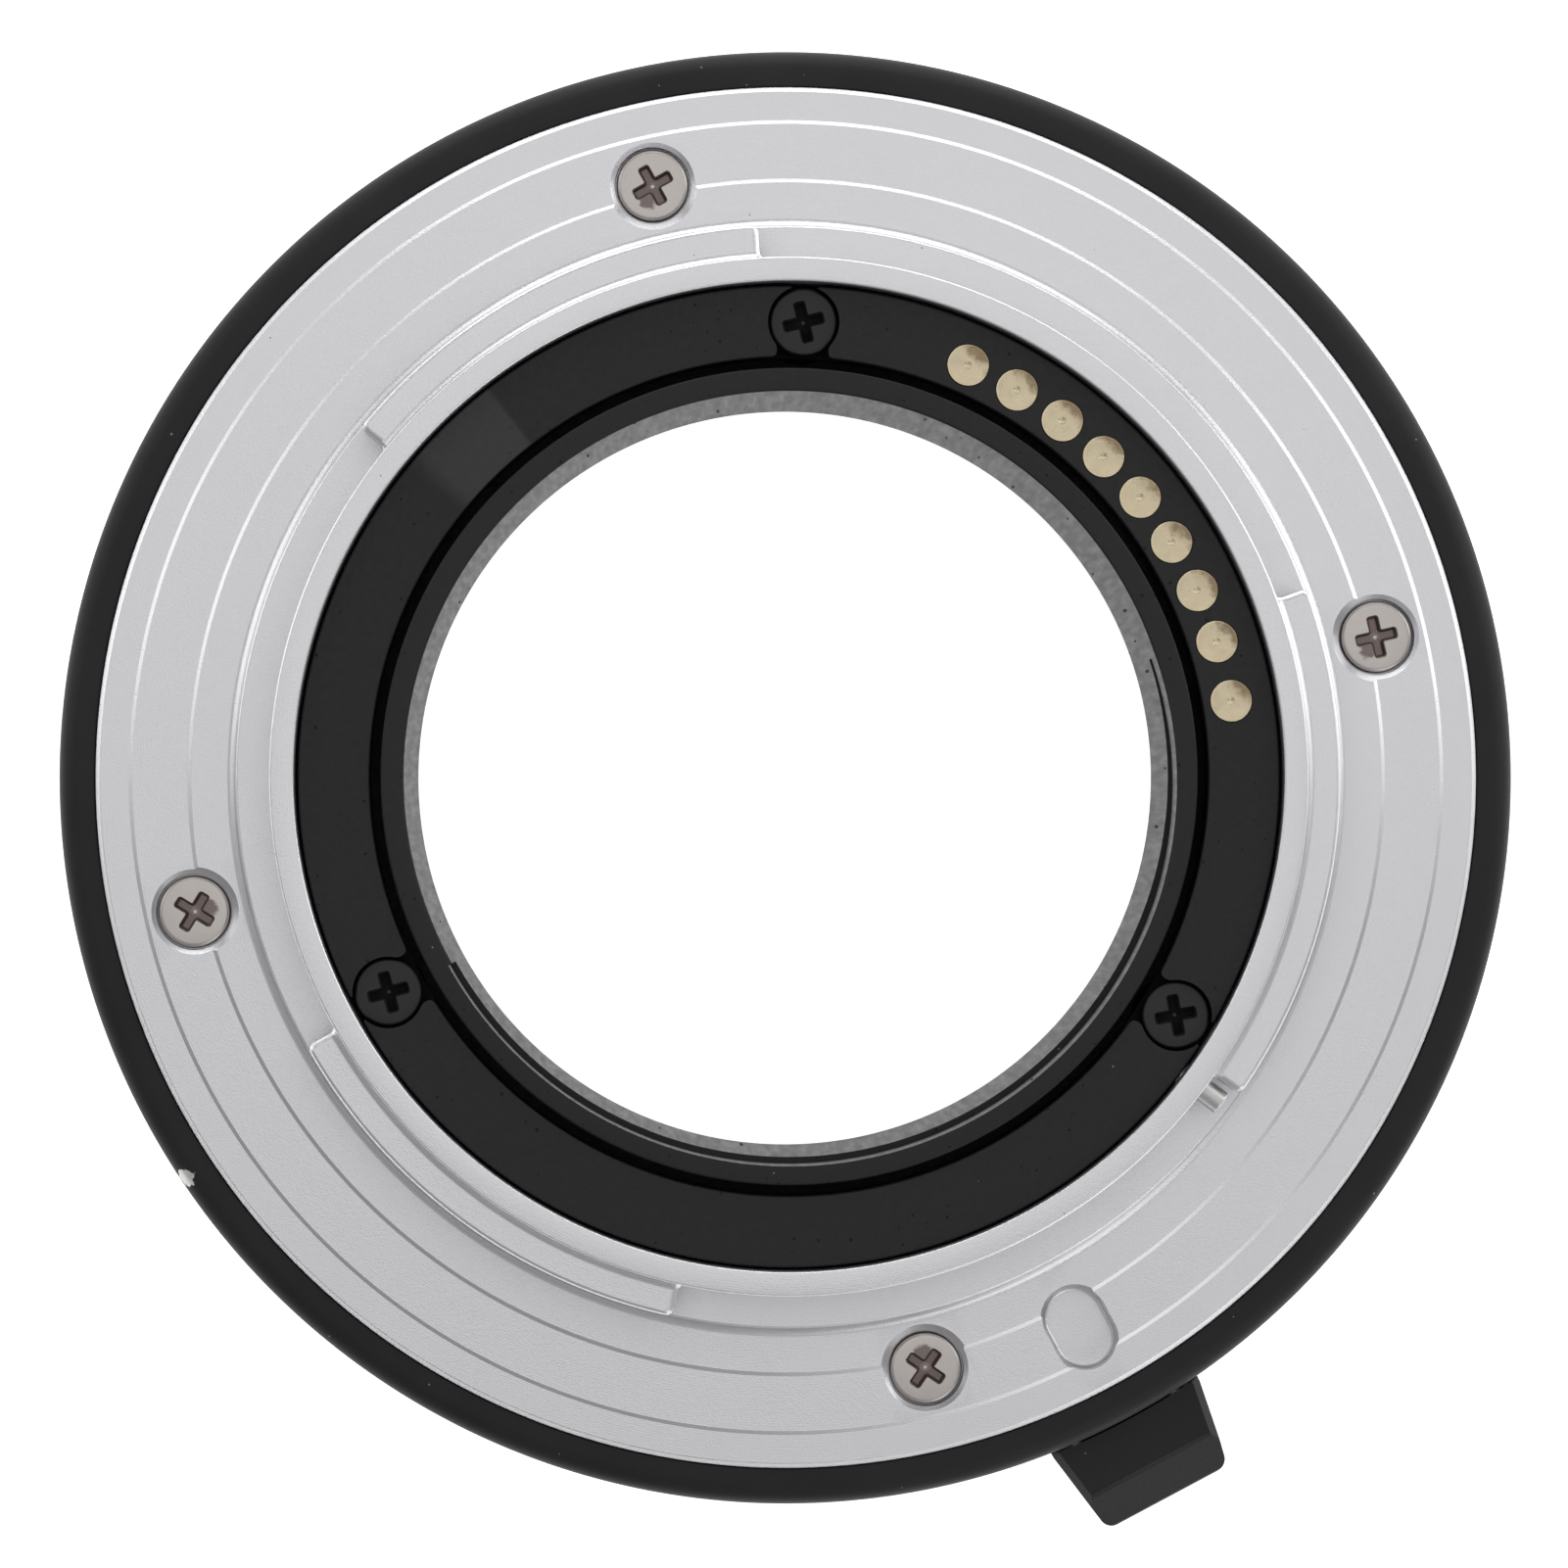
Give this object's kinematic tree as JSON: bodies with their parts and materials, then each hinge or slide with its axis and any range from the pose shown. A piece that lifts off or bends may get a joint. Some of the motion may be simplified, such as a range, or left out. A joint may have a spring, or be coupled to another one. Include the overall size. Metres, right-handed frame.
{
  "type": "macro extension tube",
  "caption": "Short black lens extension ring with silver male and female bayonets, gold contacts, a light baffle and a sliding release lever.",
  "frame": {"origin": "on the optical axis, in the plane of the front flange that a lens seats on", "axes": "+Z along the optical axis towards the camera, +X through the right of the picture, +Y through its top"},
  "size_m": [0.061, 0.0623, 0.0165],
  "materials": {
    "black_anodised": "black anodised satin",
    "satin_silver": "satin plated",
    "nickel_screw": "nickel plated",
    "black_screw": "black oxide",
    "steel_pin": "ground steel",
    "spring_steel": "spring wire and strip",
    "gold_contact": "pale gold plated",
    "black_moulding": "fine matt moulding",
    "flex_film": "amber film",
    "index_white": "enamel"
  },
  "bodies": {
    "tube": {"barrel": "black_anodised", "index_dot": "index_white", "rear_bayonet": "satin_silver", "front_bayonet": "satin_silver", "stop_pin": "steel_pin", "rear_mount_screws": "nickel_screw", "front_mount_screws": "nickel_screw", "lever_guide_screws": "nickel_screw", "contact_plate_screws": "black_screw", "pin_block_screws": "black_screw", "bayonet_spring": "spring_steel", "light_baffle": "black_moulding", "contact_plate": "black_moulding", "pin_block": "black_moulding", "flex_circuit": "flex_film", "contact_pad_1": "gold_contact", "contact_pad_2": "gold_contact", "contact_pad_3": "gold_contact", "contact_pad_4": "gold_contact", "contact_pad_5": "gold_contact", "contact_pad_6": "gold_contact", "contact_pad_7": "gold_contact", "contact_pad_8": "gold_contact", "contact_pad_9": "gold_contact", "pin_spring_1": "spring_steel", "pin_spring_2": "spring_steel", "pin_spring_3": "spring_steel", "pin_spring_4": "spring_steel", "pin_spring_5": "spring_steel", "pin_spring_6": "spring_steel", "pin_spring_7": "spring_steel", "pin_spring_8": "spring_steel", "pin_spring_9": "spring_steel", "lever_spring_1": "spring_steel", "lever_spring_2": "spring_steel"},
    "release": {"release_lever": "black_anodised", "lock_pin": "steel_pin"},
    "contact_1": {"contact_pin_1": "gold_contact"},
    "contact_2": {"contact_pin_2": "gold_contact"},
    "contact_3": {"contact_pin_3": "gold_contact"},
    "contact_4": {"contact_pin_4": "gold_contact"},
    "contact_5": {"contact_pin_5": "gold_contact"},
    "contact_6": {"contact_pin_6": "gold_contact"},
    "contact_7": {"contact_pin_7": "gold_contact"},
    "contact_8": {"contact_pin_8": "gold_contact"},
    "contact_9": {"contact_pin_9": "gold_contact"}
  },
  "joints": [
    {"name": "release_slide", "type": "slide", "parent": "tube", "child": "release", "axis": [0, 0, 1], "range_m": [0, 0.0013], "stiffness_N_per_m": 700, "springref_m": -0.0015, "deforming": ["lever_spring_1", "lever_spring_2"]},
    {"name": "contact_1_slide", "type": "slide", "parent": "tube", "child": "contact_1", "axis": [0, 0, 1], "range_m": [0, 0.00065], "stiffness_N_per_m": 300, "springref_m": -0.0004, "deforming": ["pin_spring_1"]},
    {"name": "contact_2_slide", "type": "slide", "parent": "tube", "child": "contact_2", "axis": [0, 0, 1], "range_m": [0, 0.00065], "stiffness_N_per_m": 300, "springref_m": -0.0004, "deforming": ["pin_spring_2"]},
    {"name": "contact_3_slide", "type": "slide", "parent": "tube", "child": "contact_3", "axis": [0, 0, 1], "range_m": [0, 0.00065], "stiffness_N_per_m": 300, "springref_m": -0.0004, "deforming": ["pin_spring_3"]},
    {"name": "contact_4_slide", "type": "slide", "parent": "tube", "child": "contact_4", "axis": [0, 0, 1], "range_m": [0, 0.00065], "stiffness_N_per_m": 300, "springref_m": -0.0004, "deforming": ["pin_spring_4"]},
    {"name": "contact_5_slide", "type": "slide", "parent": "tube", "child": "contact_5", "axis": [0, 0, 1], "range_m": [0, 0.00065], "stiffness_N_per_m": 300, "springref_m": -0.0004, "deforming": ["pin_spring_5"]},
    {"name": "contact_6_slide", "type": "slide", "parent": "tube", "child": "contact_6", "axis": [0, 0, 1], "range_m": [0, 0.00065], "stiffness_N_per_m": 300, "springref_m": -0.0004, "deforming": ["pin_spring_6"]},
    {"name": "contact_7_slide", "type": "slide", "parent": "tube", "child": "contact_7", "axis": [0, 0, 1], "range_m": [0, 0.00065], "stiffness_N_per_m": 300, "springref_m": -0.0004, "deforming": ["pin_spring_7"]},
    {"name": "contact_8_slide", "type": "slide", "parent": "tube", "child": "contact_8", "axis": [0, 0, 1], "range_m": [0, 0.00065], "stiffness_N_per_m": 300, "springref_m": -0.0004, "deforming": ["pin_spring_8"]},
    {"name": "contact_9_slide", "type": "slide", "parent": "tube", "child": "contact_9", "axis": [0, 0, 1], "range_m": [0, 0.00065], "stiffness_N_per_m": 300, "springref_m": -0.0004, "deforming": ["pin_spring_9"]}
  ]
}
